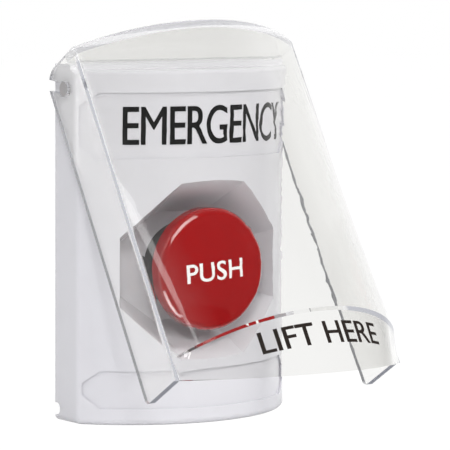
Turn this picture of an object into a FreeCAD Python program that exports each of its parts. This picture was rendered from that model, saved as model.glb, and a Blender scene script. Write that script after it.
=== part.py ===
import FreeCAD, Part
import math
import os
import Sketcher

from FreeCAD import Placement, Rotation, Vector

# Emergency push button station: a bow-fronted wall housing with a funnel-shaped
# eight-sided recess, a red mushroom push button in it, and a clear hinged lift-up shield.
# +X right, +Z up, the front faces -Y. The origin is the centre of the wall face.

doc = FreeCAD.newDocument("PushButtonStation")
sheet = doc.addObject("Spreadsheet::Sheet", "Sizes")

# sizes in millimetres and degrees
sizes = {
    # housing
    "housing_width": 82.6,
    "housing_height": 118.4,
    "side_depth": 13.8,
    "front_bulge": 19.8,
    "housing_wall": 2.8,
    "corner_round": 2.4,
    "foot_round": 2.0,
    "step_round": 1.5,
    # hinge of the shield
    "hinge_setback": 9.2,
    "hinge_drop": 8.1,
    "step_drop": 1.9,
    "journal_diameter": 5.0,
    "journal_play": 0.08,
    "shank_diameter": 4.0,
    "shank_length": 7.6,
    "journal_setback": 0.2,
    "pin_boss_diameter": 9.6,
    "pin_boss_length": 6.0,
    # recess round the button
    "button_drop": 8.6,
    "recess_width": 71.6,
    "recess_height": 60.0,
    "recess_top_flat": 25.4,
    "recess_side_flat": 28.4,
    "floor_side_flat": 16.8,
    "recess_slope_angle": 28.8,
    "recess_floor": 13.0,
    "floor_thickness": 3.0,
    # label fields
    "label_depth": 0.7,
    "label_width": 80.4,
    "label_corner": 4.2,
    "upper_label_top": 49.9,
    "upper_label_height": 21.5,
    "lower_label_top": -41.2,
    "lower_label_height": 12.5,
    # notch at the foot of each side
    "notch_height": 4.1,
    "notch_depth": 3.0,
    "notch_centre": 3.9,
    # back plate
    "plate_thickness": 2.0,
    "plate_gap": 0.3,
    "box_screw_spacing": 83.3,
    "box_screw_hole": 4.4,
    "plate_window_width": 36.0,
    "plate_window_height": 56.0,
    "tab_offset": 26.0,
    "tab_width": 12.0,
    "tab_length": 10.0,
    "tab_thickness": 1.5,
    "catch_thickness": 1.8,
    "catch_length": 5.0,
    # security screws
    "screw_diameter": 3.0,
    "screw_length": 8.0,
    "screw_head_diameter": 5.6,
    "screw_head_height": 1.5,
    "screw_play": 0.2,
    "screw_socket": 2.0,
    "socket_depth": 0.9,
    "screw_slot": 0.8,
    # shield
    "shield_gap": 0.35,
    "shield_wall": 2.3,
    "shield_open_angle": 31.4,
    "shield_rear": 7.7,
    "shield_rise": 8.9,
    "shield_drop": 110.5,
    "shield_corner": 10.9,
    "shield_corner_round": 3.0,
    "shield_inner_round": 1.2,
    "shield_bulge_top": 18.3,
    "shield_bulge_crease": 29.0,
    "shield_bulge_foot": 17.7,
    "crease_height": 6.5,
    "crease_rise": 2.5,
    "foot_dip": 9.0,
    "ear_round": 6.5,
    "shield_foot_round": 2.0,
    "top_plate_rear": 5.3,
    "keyhole_width": 3.6,
    "keyhole_angle": 38.0,
    # push button
    "cap_diameter": 40.8,
    "cap_edge_round": 2.8,
    "cap_front": 34.5,
    "cap_rim": 27.1,
    "cap_dome": 1.2,
    "cap_skirt": 1.6,
    "cap_hollow": 1.6,
    "neck_play": 0.1,
    "neck_wall": 2.2,
    "button_travel": 5.5,
    "stem_diameter": 6.0,
    "stem_play": 0.06,
    "stem_grip": 2.5,
    "running_gap": 0.1,
    "stroke_gap": 0.2,
    "stem_lead": 1.0,
    "spring_room": 1.4,
    # operator
    "barrel_diameter": 22.0,
    "barrel_play": 0.15,
    "barrel_wall": 1.8,
    "barrel_rear": 6.0,
    "web_front": 2.0,
    "web_thickness": 4.0,
    "rear_wall": 2.5,
    "flange_width": 3.8,
    "flange_thickness": 3.0,
    "gasket_thickness": 0.8,
    "gasket_inset": 0.3,
    "flange_chamfer": 0.6,
    "washer_thickness": 1.0,
    "nut_wall": 2.5,
    "nut_thickness": 3.6,
    "thread_play": 0.05,
    "clip_thickness": 0.7,
    "clip_diameter": 11.0,
    "clip_groove": 4.5,
    "spring_play": 0.55,
    "spring_gap": 0.2,
    "spring_wire": 1.1,
    "spring_turns": 6,
    # contact block
    "collar_thickness": 4.0,
    "collar_side": 4.0,
    "collar_end": 4.0,
    "block_front": 6.4,
    "block_width": 27.0,
    "block_length": 26.0,
    "block_wall": 1.6,
    "cover_thickness": 1.6,
    "contact_offset": 6.0,
    "strip_width": 5.0,
    "strip_thickness": 1.0,
    "bridge_length": 25.0,
    "bridge_thickness": 0.8,
    "pip_diameter": 3.2,
    "pip_height": 0.5,
    "contact_gap": 0.05,
    "carrier_width": 19.0,
    "carrier_height": 6.0,
    "closed_strip_depth": 4.6,
    "bridge_pitch": 4.6,
    "bridge_float": 1.4,
    "terminal_offset": 16.5,
    "terminal_hole": 3.2,
    "terminal_head": 5.6,
    "terminal_head_height": 2.2,
    "terminal_length": 4.6,
    "block_screw_gap": 8.0,
    "collar_screw_grip": 1.6,
    "guide_play": 0.2,
    "guide_end": 6.0,
    "clip_room": 0.7,
    "wire_entry": 3.4,
    "driver_hole": 5.0,
    "stub_length": 2.0,
    "carrier_tail": 2.2,
    "strip_overlap": 4.5,
    "bridge_inset": 0.5,
    "pip_inset": 0.3,
    "wire_entry_offset": 1.6,
    "stub_play": 0.3,
    "contact_spring_diameter": 4.8,
    "contact_spring_wire": 0.5,
    "contact_spring_turns": 5,
}

for row, (alias, value) in enumerate(sizes.items(), start=1):
    sheet.set(f"A{row}", alias)
    sheet.set(f"B{row}", str(value))
    sheet.setAlias(f"B{row}", alias)
doc.recompute()


class Size:
    """A length with the spreadsheet formula that gives it."""

    def __init__(self, value, formula):
        self.value = float(value)
        self.formula = formula

    def join(self, other, sign, value, swap=False):
        first, second = self.formula, text_of(other)
        if swap:
            first, second = second, first
        return Size(value, f"({first} {sign} {second})")

    def __float__(self):
        return self.value

    def __add__(self, other):
        return self.join(other, "+", self.value + float(other))

    def __radd__(self, other):
        return self.join(other, "+", float(other) + self.value, swap=True)

    def __sub__(self, other):
        return self.join(other, "-", self.value - float(other))

    def __rsub__(self, other):
        return self.join(other, "-", float(other) - self.value, swap=True)

    def __mul__(self, other):
        return self.join(other, "*", self.value * float(other))

    def __rmul__(self, other):
        return self.join(other, "*", float(other) * self.value, swap=True)

    def __truediv__(self, other):
        return self.join(other, "/", self.value / float(other))

    def __rtruediv__(self, other):
        return self.join(other, "/", float(other) / self.value, swap=True)

    def __neg__(self):
        return Size(-self.value, f"(0 - {self.formula})")


def text_of(length):
    return length.formula if isinstance(length, Size) else repr(float(length))


def size(alias):
    return Size(sheet.get(alias), f"Sizes.{alias}")


def root(length):
    return Size(math.sqrt(length.value), f"sqrt({length.formula})")


def tangent(angle):
    return Size(math.tan(math.radians(angle.value)), f"tan({angle.formula} * 1 deg)")


def sine(angle):
    return Size(math.sin(math.radians(angle.value)), f"sin({angle.formula} * 1 deg)")


def cosine(angle):
    return Size(math.cos(math.radians(angle.value)), f"cos({angle.formula} * 1 deg)")


def slope(rise, run):
    angle = math.degrees(math.atan(float(rise) / float(run)))
    return Size(angle, f"atan({text_of(rise)} / {text_of(run)}) / 1 deg")


def bind(item, name, length):
    if isinstance(length, Size):
        item.setExpression(name, length.formula)


def place(item, x=0.0, y=0.0, z=0.0):
    item.Placement = Placement(Vector(float(x), float(y), float(z)), Rotation())
    for axis, length in (("x", x), ("y", y), ("z", z)):
        bind(item, f"Placement.Base.{axis}", length)


def new_body(label):
    body = doc.addObject("PartDesign::Body", label)
    body.Label = label
    return body


def new_sketch(body, plane, name, x=0.0, y=0.0, z=0.0, tilt=0.0):
    """A sketch on one of the body's own planes, moved and tilted about its own x axis."""
    item = body.newObject("Sketcher::SketchObject", name)
    support = [o for o in body.Origin.OriginFeatures if o.Role == plane][0]
    item.AttachmentSupport = (support, "")
    item.MapMode = "FlatFace"
    turned = Rotation(Vector(1, 0, 0), float(tilt)) if float(tilt) else Rotation()
    item.AttachmentOffset = Placement(Vector(float(x), float(y), float(z)), turned)
    for axis, length in (("x", x), ("y", y), ("z", z)):
        bind(item, f"AttachmentOffset.Base.{axis}", length)
    if float(tilt):
        bind(item, "AttachmentOffset.Rotation.Angle", tilt)
    return item


def fix_point(sketch, geometry, end, point, across=True, along=True):
    kinds = []
    if across:
        kinds.append(("DistanceX", -2, point[0]))
    if along:
        kinds.append(("DistanceY", -1, point[1]))
    for kind, axis, length in kinds:
        if isinstance(length, Size):
            number = sketch.addConstraint(
                Sketcher.Constraint(kind, geometry, end, float(length))
            )
            sketch.setExpression(f"Constraints[{number}]", length.formula)
        elif length == 0:
            sketch.addConstraint(Sketcher.Constraint("PointOnObject", geometry, end, axis))
        else:
            sketch.addConstraint(Sketcher.Constraint(kind, geometry, end, float(length)))


def draw(sketch, start, steps):
    """Draws a closed outline. A step is a point, or a point, centre, radius and turning sense."""
    corners = [start] + [step if len(step) == 2 else step[0] for step in steps]
    ends = []
    for number, step in enumerate(steps):
        first = corners[number]
        last = corners[number + 1]
        a = Vector(float(first[0]), float(first[1]), 0)
        b = Vector(float(last[0]), float(last[1]), 0)
        if len(step) == 2:
            geometry = sketch.addGeometry(Part.LineSegment(a, b), False)
            ends.append((geometry, 1, 2))
            continue
        centre = Vector(float(step[1][0]), float(step[1][1]), 0)
        circle = Part.Circle(centre, Vector(0, 0, 1), float(step[2]))
        one, two = (a, b) if step[3] == "left" else (b, a)
        angles = [math.atan2(p.y - centre.y, p.x - centre.x) for p in (one, two)]
        if angles[1] < angles[0]:
            angles[1] += 2 * math.pi
        geometry = sketch.addGeometry(Part.ArcOfCircle(circle, angles[0], angles[1]), False)
        ends.append((geometry, 1, 2) if step[3] == "left" else (geometry, 2, 1))
    for number, (geometry, first, last) in enumerate(ends):
        following = ends[(number + 1) % len(ends)]
        sketch.addConstraint(
            Sketcher.Constraint("Coincident", geometry, last, following[0], following[1])
        )
        fix_point(sketch, geometry, first, corners[number])
        step = steps[number]
        if len(step) > 2:
            last = corners[number + 1]
            run = float(last[0]) - float(corners[number][0])
            rise = float(last[1]) - float(corners[number][1])
            if abs(math.hypot(run, rise) - 2 * float(step[2])) < 1e-6:
                # a half circle is held by its centre, because its chord fixes its radius
                fix_point(sketch, geometry, 3, step[1], abs(rise) > abs(run), abs(run) >= abs(rise))
                continue
            fixed = sketch.addConstraint(
                Sketcher.Constraint("Radius", geometry, float(step[2]))
            )
            if isinstance(step[2], Size):
                sketch.setExpression(f"Constraints[{fixed}]", step[2].formula)


def draw_polygon(sketch, points):
    draw(sketch, points[0], points[1:] + [points[0]])


def draw_box(sketch, x_low, x_high, y_low, y_high):
    draw_polygon(sketch, [(x_low, y_low), (x_high, y_low), (x_high, y_high), (x_low, y_high)])


def draw_circle(sketch, x, y, diameter):
    circle = Part.Circle(Vector(float(x), float(y), 0), Vector(0, 0, 1), float(diameter) / 2)
    geometry = sketch.addGeometry(circle, False)
    fix_point(sketch, geometry, 3, (x, y))
    fixed = sketch.addConstraint(
        Sketcher.Constraint("Diameter", geometry, float(diameter))
    )
    if isinstance(diameter, Size):
        sketch.setExpression(f"Constraints[{fixed}]", diameter.formula)


def pad(body, sketch, name, length, back=False, both=False):
    item = body.newObject("PartDesign::Pad", name)
    item.Profile = sketch
    item.Length = float(length)
    bind(item, "Length", length)
    item.Reversed = back
    if both:
        item.SideType = "Symmetric"
    return item


def pocket(body, sketch, name, length, back=False, both=False):
    item = body.newObject("PartDesign::Pocket", name)
    item.Profile = sketch
    item.Length = float(length)
    bind(item, "Length", length)
    item.Reversed = back
    if both:
        item.SideType = "Symmetric"
    return item


def revolve(body, profile, name, axis="H_Axis"):
    item = body.newObject("PartDesign::Revolution", name)
    item.Profile = profile
    item.ReferenceAxis = (profile, [axis])
    item.Angle = 360.0
    return item


def turn(body, points, name):
    """A turned piece: the outline is (position along the button axis, radius)."""
    profile = new_sketch(body, "YZ_Plane", f"{name}_profile")
    draw_polygon(profile, points)
    return revolve(body, profile, name)


def round_edges(body, base, name, radius, chosen):
    item = body.newObject("PartDesign::Fillet", name)
    item.Base = (base, chosen)
    item.Radius = float(radius)
    bind(item, "Radius", radius)
    return item


def edges_where(shape, test):
    return [f"Edge{n}" for n, edge in enumerate(shape.Edges, start=1) if test(edge)]


def tool(kind, label, **settings):
    item = doc.addObject(kind, label)
    item.Label = label
    for name, value in settings.items():
        setattr(item, name, value)
    return item


# housing outline values
half_width = size("housing_width") / 2
half_height = size("housing_height") / 2
housing_wall = size("housing_wall")
side_depth = size("side_depth")
front_bulge = size("front_bulge")
front_depth = side_depth + front_bulge
bow_radius = (half_width * half_width + front_bulge * front_bulge) / (2 * front_bulge)
bow_centre = bow_radius - front_depth
hinge_setback = size("hinge_setback")
hinge_drop = size("hinge_drop")
hinge_height = half_height - hinge_drop
step_height = half_height - size("step_drop")
button_height = -size("button_drop")
# how far a cutting shape runs past what it cuts, and a joined one into what carries it
past = 1.0
sunk = 0.5

# front_housing: the moulded front shell
block = new_body("housing_block")
outline = new_sketch(block, "XY_Plane", "housing_outline", z=-half_height)
draw(
    outline,
    (-half_width, 0),
    [
        (-half_width, -side_depth),
        ((half_width, -side_depth), (0, bow_centre), bow_radius, "left"),
        (half_width, 0),
        (-half_width, 0),
    ],
)
block_pad = pad(block, outline, "housing_length", half_height * 2)
doc.recompute()

# the top edge is rounded about the hinge and steps down in front, so that the shield's
# top plate clears it on its way and closes flush
step_rise = hinge_drop - size("step_drop")
step_reach = root(hinge_drop * hinge_drop - step_rise * step_rise)
top_profile = new_sketch(block, "YZ_Plane", "top_step_profile")
draw(
    top_profile,
    (-hinge_setback, half_height + past),
    [
        (-hinge_setback, half_height),
        ((-hinge_setback - step_reach, step_height), (-hinge_setback, hinge_height), hinge_drop, "left"),
        (-front_depth - past, step_height),
        (-front_depth - past, half_height + past),
        (-hinge_setback, half_height + past),
    ],
)
block_step = pocket(block, top_profile, "top_step", half_width * 2 + 2 * past, both=True)
doc.recompute()

corner_edges = edges_where(
    block_step.Shape,
    lambda e: abs(abs(e.CenterOfMass.x) - float(half_width)) < 0.01
    and abs(e.CenterOfMass.y + float(side_depth)) < 0.01
    and e.BoundBox.ZLength > float(half_height),
)
corner_round = size("corner_round")
block_corners = round_edges(block, block_step, "front_corner_round", corner_round, corner_edges)
doc.recompute()
foot_edges = edges_where(
    block_corners.Shape,
    lambda e: abs(e.BoundBox.ZMin + float(half_height)) < 0.01
    and abs(e.BoundBox.ZMax + float(half_height)) < 0.01
    and e.BoundBox.YMin < -past,
)
block_foot = round_edges(block, block_corners, "foot_edge_round", size("foot_round"), foot_edges)
doc.recompute()
# the upper front edge is rounded along the bow, turned about the bow's own axis
step_round = size("step_round")
rim_profile = new_sketch(block, "YZ_Plane", "step_round_profile", x=bow_centre)
draw(
    rim_profile,
    (-bow_radius - past, step_height - step_round),
    [
        (-bow_radius, step_height - step_round),
        (
            (step_round - bow_radius, step_height),
            (step_round - bow_radius, step_height - step_round),
            step_round,
            "right",
        ),
        (step_round - bow_radius, half_height + past),
        (-bow_radius - past, half_height + past),
        (-bow_radius - past, step_height - step_round),
    ],
)
rim_groove = block.newObject("PartDesign::Groove", "step_round_groove")
rim_groove.Profile = rim_profile
rim_groove.ReferenceAxis = (rim_profile, ["V_Axis"])
rim_groove.Angle = 360.0
doc.recompute()

# the hollow inside it, less the cup of the recess
inner_width = half_width - housing_wall
inner_bow = bow_radius - housing_wall
inner_side = root(inner_bow * inner_bow - inner_width * inner_width) - bow_centre
inner_low = housing_wall - half_height
inner_high = step_height - housing_wall
hollow = new_body("housing_hollow")
hollow_outline = new_sketch(hollow, "XY_Plane", "hollow_outline", z=inner_low)
draw(
    hollow_outline,
    (-inner_width, past),
    [
        (-inner_width, -inner_side),
        ((inner_width, -inner_side), (0, bow_centre), inner_bow, "left"),
        (inner_width, past),
        (-inner_width, past),
    ],
)
pad(hollow, hollow_outline, "hollow_length", inner_high - inner_low)

# the eight-sided funnel: its mouth lies just in front of the bow, its floor carries the button
recess_floor = size("recess_floor")
funnel_mouth = front_depth + past
funnel_depth = funnel_mouth - recess_floor
flare = tangent(size("recess_slope_angle"))
mouth_side = size("recess_width") / 2
mouth_top = size("recess_height") / 2
mouth_top_flat = size("recess_top_flat") / 2
mouth_side_flat = size("recess_side_flat") / 2
floor_side = mouth_side - flare * funnel_depth
floor_top = mouth_top - flare * funnel_depth
floor_side_flat = size("floor_side_flat") / 2
bevel = (mouth_top - mouth_side_flat) / (mouth_side - mouth_top_flat)
floor_top_flat = floor_side - (floor_top - floor_side_flat) / bevel


def eight_sides(side, top, side_flat, top_flat):
    right = [(side, -side_flat), (side, side_flat), (top_flat, top)]
    left = [(-top_flat, top), (-side, side_flat), (-side, -side_flat)]
    return right + left + [(-top_flat, -top), (top_flat, -top)]


def funnel(label, mouth, floor, mouth_depth, floor_depth):
    body = new_body(label)
    first = new_sketch(body, "XZ_Plane", f"{label}_floor", z=floor_depth)
    draw_polygon(first, eight_sides(*floor))
    second = new_sketch(body, "XZ_Plane", f"{label}_mouth", z=mouth_depth)
    draw_polygon(second, eight_sides(*mouth))
    loft = body.newObject("PartDesign::AdditiveLoft", f"{label}_loft")
    loft.Profile = first
    loft.Sections = [second]
    loft.Ruled = True
    place(body, z=button_height)
    return body


recess = funnel(
    "recess_hollow",
    (mouth_side, mouth_top, mouth_side_flat, mouth_top_flat),
    (floor_side, floor_top, floor_side_flat, floor_top_flat),
    funnel_mouth,
    recess_floor,
)
cup_floor = recess_floor - size("floor_thickness")
cup_shrink = flare * size("floor_thickness")
skin = housing_wall / cosine(size("recess_slope_angle"))
cup = funnel(
    "recess_cup",
    (mouth_side + skin, mouth_top + skin, mouth_side_flat + skin / 2, mouth_top_flat + skin / 2),
    (
        floor_side + skin - cup_shrink,
        floor_top + skin - cup_shrink,
        floor_side_flat + skin / 2 - cup_shrink / 2,
        floor_top_flat + skin / 2 - cup_shrink / 2,
    ),
    funnel_mouth,
    cup_floor,
)
doc.recompute()
cavity = tool("Part::Cut", "housing_cavity", Base=hollow, Tool=cup)
shell = tool("Part::Cut", "housing_shell", Base=block, Tool=cavity)

# bosses for the hinge pins and catches for the back plate, moulded on the inside
pin_bosses = new_body("pin_bosses")
boss_profile = new_sketch(pin_bosses, "YZ_Plane", "boss_profile")
draw_circle(boss_profile, -hinge_setback, hinge_height, size("pin_boss_diameter"))
pad(pin_bosses, boss_profile, "boss_length", half_width * 2 - housing_wall, both=True)
boss_gap = new_sketch(pin_bosses, "YZ_Plane", "boss_gap_profile")
draw_circle(boss_gap, -hinge_setback, hinge_height, size("pin_boss_diameter") + 2 * past)
pocket(
    pin_bosses,
    boss_gap,
    "boss_gap",
    2 * (inner_width - size("pin_boss_length")),
    both=True,
)

plate_thickness = size("plate_thickness")
plate_gap = size("plate_gap")
plate_low = inner_low + plate_gap
plate_high = inner_high - plate_gap
plate_side = inner_width - plate_gap
tab_offset = size("tab_offset")
tab_half = size("tab_width") / 2
tab_front = plate_thickness + size("tab_length")
tab_thickness = size("tab_thickness")
catch_high = plate_high - tab_thickness - plate_gap
catch_low = catch_high - size("catch_thickness")
catches = new_body("plate_catches")
catch_outline = new_sketch(catches, "XY_Plane", "catch_outline", z=catch_low)
catch_rear = plate_thickness + plate_gap
catch_front = catch_rear + size("catch_length")
for side in (-1, 1):
    inside = side * (tab_offset - tab_half)
    outside = side * (inner_width + past)
    low_x, high_x = (outside, inside) if side < 0 else (inside, outside)
    draw_box(catch_outline, low_x, high_x, -catch_front, -catch_rear)
pad(catches, catch_outline, "catch_height", size("catch_thickness"))
doc.recompute()
ribbed = tool("Part::MultiFuse", "ribbed_shell", Shapes=[shell, pin_bosses, catches])

# openings through the shell
journal_hole = new_body("shank_holes")
hole_profile = new_sketch(journal_hole, "YZ_Plane", "shank_hole_profile")
draw_circle(hole_profile, -hinge_setback, hinge_height, size("shank_diameter"))
pad(journal_hole, hole_profile, "shank_hole_length", half_width * 2 + 2 * past, both=True)

barrel_hole = new_body("barrel_hole")
barrel_hole_profile = new_sketch(barrel_hole, "XZ_Plane", "barrel_hole_profile", z=cup_floor - past)
draw_circle(barrel_hole_profile, 0, 0, size("barrel_diameter") + 2 * size("barrel_play"))
pad(barrel_hole, barrel_hole_profile, "barrel_hole_length", size("floor_thickness") + 2 * past)
place(barrel_hole, z=button_height)

screw_offset = tab_offset
screw_setback = plate_thickness + size("tab_length") / 2
screw_diameter = size("screw_diameter")
screw_play = size("screw_play")
head_diameter = size("screw_head_diameter")
head_seat = size("screw_head_height") + screw_play
screw_holes = new_body("screw_holes")
bore_outline = new_sketch(screw_holes, "XY_Plane", "screw_bore_outline", z=-half_height - past)
seat_outline = new_sketch(screw_holes, "XY_Plane", "screw_seat_outline", z=-half_height - past)
for side in (-1, 1):
    draw_circle(bore_outline, side * screw_offset, -screw_setback, screw_diameter + 2 * screw_play)
    draw_circle(seat_outline, side * screw_offset, -screw_setback, head_diameter + 2 * screw_play)
pad(screw_holes, bore_outline, "screw_bores", housing_wall + 2 * past)
pad(screw_holes, seat_outline, "screw_seats", head_seat + past)

# U-shaped notch low in the rear edge of both sides
notch_half = size("notch_height") / 2
notch_middle = size("notch_centre") - half_height
notch_straight = size("notch_depth") - notch_half
notch = new_body("side_notches")
notch_profile = new_sketch(notch, "YZ_Plane", "notch_profile")
draw(
    notch_profile,
    (past, notch_middle + notch_half),
    [
        (-notch_straight, notch_middle + notch_half),
        (
            (-notch_straight, notch_middle - notch_half),
            (-notch_straight, notch_middle),
            notch_half,
            "left",
        ),
        (past, notch_middle - notch_half),
        (past, notch_middle + notch_half),
    ],
)
pad(notch, notch_profile, "notch_length", half_width * 2 + 2 * past, both=True)
notch_keep = new_sketch(notch, "YZ_Plane", "notch_keep_profile")
draw_box(notch_keep, -front_depth, 2 * past, notch_middle - half_height, notch_middle + half_height)
pocket(notch, notch_keep, "notch_keep", 2 * (half_width - housing_wall - past), both=True)

# two shallow label fields that follow the bow
label_depth = size("label_depth")
label_half = size("label_width") / 2
label_corner = size("label_corner")
fields = new_body("label_outlines")
field_outline = new_sketch(fields, "XZ_Plane", "label_outline", z=side_depth / 2)
for top, height in (
    (size("upper_label_top"), size("upper_label_height")),
    (size("lower_label_top"), size("lower_label_height")),
):
    low = top - height
    draw_polygon(
        field_outline,
        [
            (-label_half + label_corner, low),
            (label_half - label_corner, low),
            (label_half, low + label_corner),
            (label_half, top - label_corner),
            (label_half - label_corner, top),
            (label_corner - label_half, top),
            (-label_half, top - label_corner),
            (-label_half, low + label_corner),
        ],
    )
fields.AllowCompound = True
pad(fields, field_outline, "label_length", front_depth)
core = new_body("label_core")
core_outline = new_sketch(core, "XY_Plane", "label_core_outline", z=-half_height)
draw_circle(core_outline, 0, bow_centre, (bow_radius - label_depth) * 2)
pad(core, core_outline, "label_core_length", half_height * 2)
doc.recompute()
label_cut = tool("Part::Cut", "label_fields", Base=fields, Tool=core)
openings = tool(
    "Part::MultiFuse",
    "housing_openings",
    Shapes=[recess, journal_hole, barrel_hole, screw_holes, notch],
)
cut_housing = tool("Part::Cut", "pierced_housing", Base=ribbed, Tool=openings)
front_housing = tool("Part::Cut", "front_housing", Base=cut_housing, Tool=label_cut)
doc.recompute()

# back_plate: pressed steel plate that screws to the wall box and holds the housing by its tabs
back_plate = new_body("back_plate")
plate_outline = new_sketch(back_plate, "XZ_Plane", "plate_outline")
draw_box(plate_outline, -plate_side, plate_side, plate_low, plate_high)
pad(back_plate, plate_outline, "plate_sheet", plate_thickness)
tab_outline = new_sketch(back_plate, "XY_Plane", "foot_tab_outline", z=plate_low)
head_outline = new_sketch(back_plate, "XY_Plane", "head_tab_outline", z=plate_high - tab_thickness)
for side in (-1, 1):
    low_x = side * tab_offset - tab_half
    high_x = side * tab_offset + tab_half
    draw_box(tab_outline, low_x, high_x, -tab_front, -plate_thickness / 2)
    draw_box(head_outline, low_x, high_x, -catch_front, -plate_thickness / 2)
pad(back_plate, tab_outline, "foot_tabs", tab_thickness)
pad(back_plate, head_outline, "head_tabs", tab_thickness)
plate_holes = new_sketch(back_plate, "XZ_Plane", "plate_hole_outline")
box_spacing = size("box_screw_spacing")
for side in (-1, 1):
    draw_circle(plate_holes, 0, side * box_spacing / 2, size("box_screw_hole"))
window_half = size("plate_window_width") / 2
window_high = size("plate_window_height") / 2
window_low = button_height - window_high
draw_box(plate_holes, -window_half, window_half, window_low, button_height + window_high)
pocket(back_plate, plate_holes, "plate_openings", plate_thickness * 2 + past, both=True)
tab_holes = new_sketch(back_plate, "XY_Plane", "tab_hole_outline", z=plate_low)
for side in (-1, 1):
    draw_circle(tab_holes, side * screw_offset, -screw_setback, screw_diameter + 2 * size("thread_play"))
pocket(back_plate, tab_holes, "tab_thread_holes", tab_thickness * 2 + past, both=True)


# security screws from below
def turned_screw(label, length, diameter, head, head_height):
    """A cheese-head screw standing on its head, with the seat of the head at the origin."""
    body = new_body(label)
    profile = new_sketch(body, "XZ_Plane", f"{label}_profile")
    draw_polygon(
        profile,
        [
            (0, -head_height),
            (head / 2, -head_height),
            (head / 2, 0),
            (diameter / 2, 0),
            (diameter / 2, length),
            (0, length),
        ],
    )
    revolve(body, profile, f"{label}_turned", "V_Axis")
    drive = new_sketch(body, "XY_Plane", f"{label}_drive", z=-head_height)
    draw_circle(drive, 0, 0, size("screw_socket"))
    pocket(body, drive, f"{label}_socket", size("socket_depth"), back=True)
    return body


head_height = size("screw_head_height")
screw_length = size("screw_length")
screw_body = turned_screw(
    "one_housing_screw", screw_length, screw_diameter, head_diameter, head_height
)
place(screw_body, screw_offset, -screw_setback, head_seat - half_height)
screw_twin = tool("Part::Mirroring", "housing_screw_twin", Source=screw_body, Normal=Vector(1, 0, 0))
housing_screws = tool("Part::Compound", "housing_screws", Links=[screw_body, screw_twin])

# hinge pins, pressed into the bosses
shield_wall = size("shield_wall")
shield_gap = size("shield_gap")
shield_half = half_width + shield_gap + shield_wall
journal_length = shield_gap + shield_wall - size("journal_setback")
pins = []
for label, side in (("left_hinge_pin", -1), ("right_hinge_pin", 1)):
    pin = new_body(label)
    shank = new_sketch(pin, "YZ_Plane", f"{label}_shank_profile", z=side * half_width)
    draw_circle(shank, -hinge_setback, hinge_height, size("shank_diameter"))
    pad(pin, shank, f"{label}_shank", size("shank_length"), back=side > 0)
    journal = new_sketch(pin, "YZ_Plane", f"{label}_journal_profile", z=side * half_width)
    draw_circle(journal, -hinge_setback, hinge_height, size("journal_diameter"))
    pad(pin, journal, f"{label}_journal", journal_length, back=side < 0)
    pins.append(pin)

# shield: drawn closed about its hinge, then lifted
shield = new_body("clear_shield")
shield_rear = size("shield_rear")
shield_rise = size("shield_rise")
shield_drop = size("shield_drop")
shield_corner = size("shield_corner")
crease_height = size("crease_height")
crease_rise = size("crease_rise")
foot_dip = size("foot_dip")
bulge_top = size("shield_bulge_top")
bulge_crease = size("shield_bulge_crease")
bulge_foot = size("shield_bulge_foot")
crease_low = crease_height - shield_drop
crease_tilt = slope(crease_rise, bulge_crease)
foot_tilt = slope(foot_dip, bulge_foot)
crease_reach = bulge_crease / cosine(crease_tilt)
foot_reach = bulge_foot / cosine(foot_tilt)


def bow(sketch, half, reach, corner):
    """A D outline: straight at the rear, bowed to the front, with rounded corners."""
    run = half - corner
    radius = (run * run + reach * reach - corner * corner) / (2 * (reach - corner))
    centre = radius - reach
    scale = radius / (radius - corner)
    draw(
        sketch,
        (-half, 0),
        [
            ((-run * scale, centre - centre * scale), (-run, 0), corner, "left"),
            ((run * scale, centre - centre * scale), (0, centre), radius, "left"),
            ((half, 0), (run, 0), corner, "left"),
            (-half, 0),
        ],
    )


def bow_sections(name, half, corner, top, top_reach, reach_crease, reach_foot):
    upper = new_sketch(shield, "XY_Plane", f"{name}_top", y=-shield_corner, z=top)
    bow(upper, half, top_reach, corner)
    middle = new_sketch(
        shield, "XY_Plane", f"{name}_crease", y=-shield_corner, z=crease_low, tilt=-crease_tilt
    )
    bow(middle, half, reach_crease, corner)
    lower = new_sketch(
        shield, "XY_Plane", f"{name}_foot", y=-shield_corner, z=-shield_drop, tilt=foot_tilt
    )
    bow(lower, half, reach_foot, corner)
    return upper, middle, lower


outer = bow_sections(
    "shield_outer",
    shield_half,
    size("shield_corner_round"),
    shield_rise,
    bulge_top,
    crease_reach,
    foot_reach,
)
shield_bow = shield.newObject("PartDesign::AdditiveLoft", "shield_bow")
shield_bow.Profile = outer[0]
shield_bow.Sections = [outer[1], outer[2]]
shield_bow.Ruled = True
doc.recompute()

ear_round = size("ear_round")
foot_round = size("shield_foot_round")
cheek_profile = new_sketch(shield, "YZ_Plane", "shield_cheek_profile")
draw(
    cheek_profile,
    (-shield_corner, -shield_drop),
    [
        (shield_rear - foot_round, -shield_drop),
        (
            (shield_rear, foot_round - shield_drop),
            (shield_rear - foot_round, foot_round - shield_drop),
            foot_round,
            "left",
        ),
        (shield_rear, shield_rise - ear_round),
        (
            (shield_rear - ear_round, shield_rise),
            (shield_rear - ear_round, shield_rise - ear_round),
            ear_round,
            "left",
        ),
        (-shield_corner, shield_rise),
        (-shield_corner, -shield_drop),
    ],
)
shield_cheeks = pad(shield, cheek_profile, "shield_cheeks", shield_half * 2, both=True)
doc.recompute()

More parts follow.
